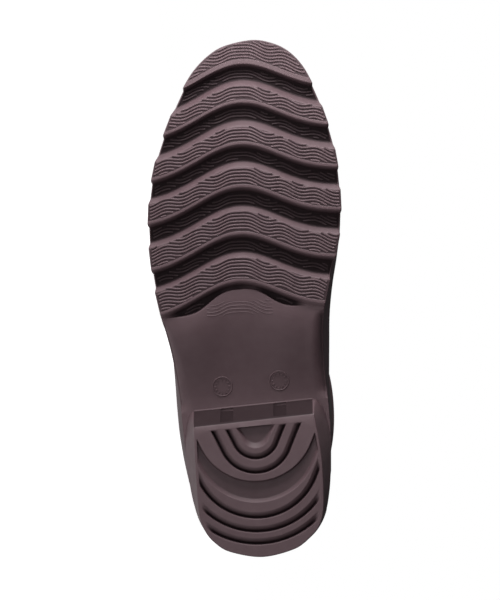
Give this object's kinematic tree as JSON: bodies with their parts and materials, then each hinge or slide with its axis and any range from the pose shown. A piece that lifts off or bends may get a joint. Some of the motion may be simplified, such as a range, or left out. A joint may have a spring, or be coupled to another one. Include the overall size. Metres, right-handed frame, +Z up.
{
  "type": "rain boot",
  "caption": "Right rubber rain boot lying on its outer side: hollow upper open at the collar, outsole with wave lugs, toe spring and arched waist, heel block with arc grooves, loose insole.",
  "frame": {"origin": "middle of the boot's plan box, on the floor that it lies on", "axes": "+X towards the back of the heel, +Y from the tread towards the collar, +Z up, from the outer side of the foot to its inner side"},
  "size_m": [0.262, 0.2524, 0.1029],
  "materials": {
    "upper_rubber": "smooth satin rubber, dark burgundy brown",
    "outsole_rubber": "moulded satin rubber with fine ripples, dark burgundy brown",
    "heel_rubber": "moulded satin rubber, dark burgundy brown",
    "insole_foam": "matt textile over foam"
  },
  "bodies": {
    "root": {"upper": "upper_rubber", "outsole": "outsole_rubber", "heel": "heel_rubber", "insole": "insole_foam"}
  },
  "joints": []
}
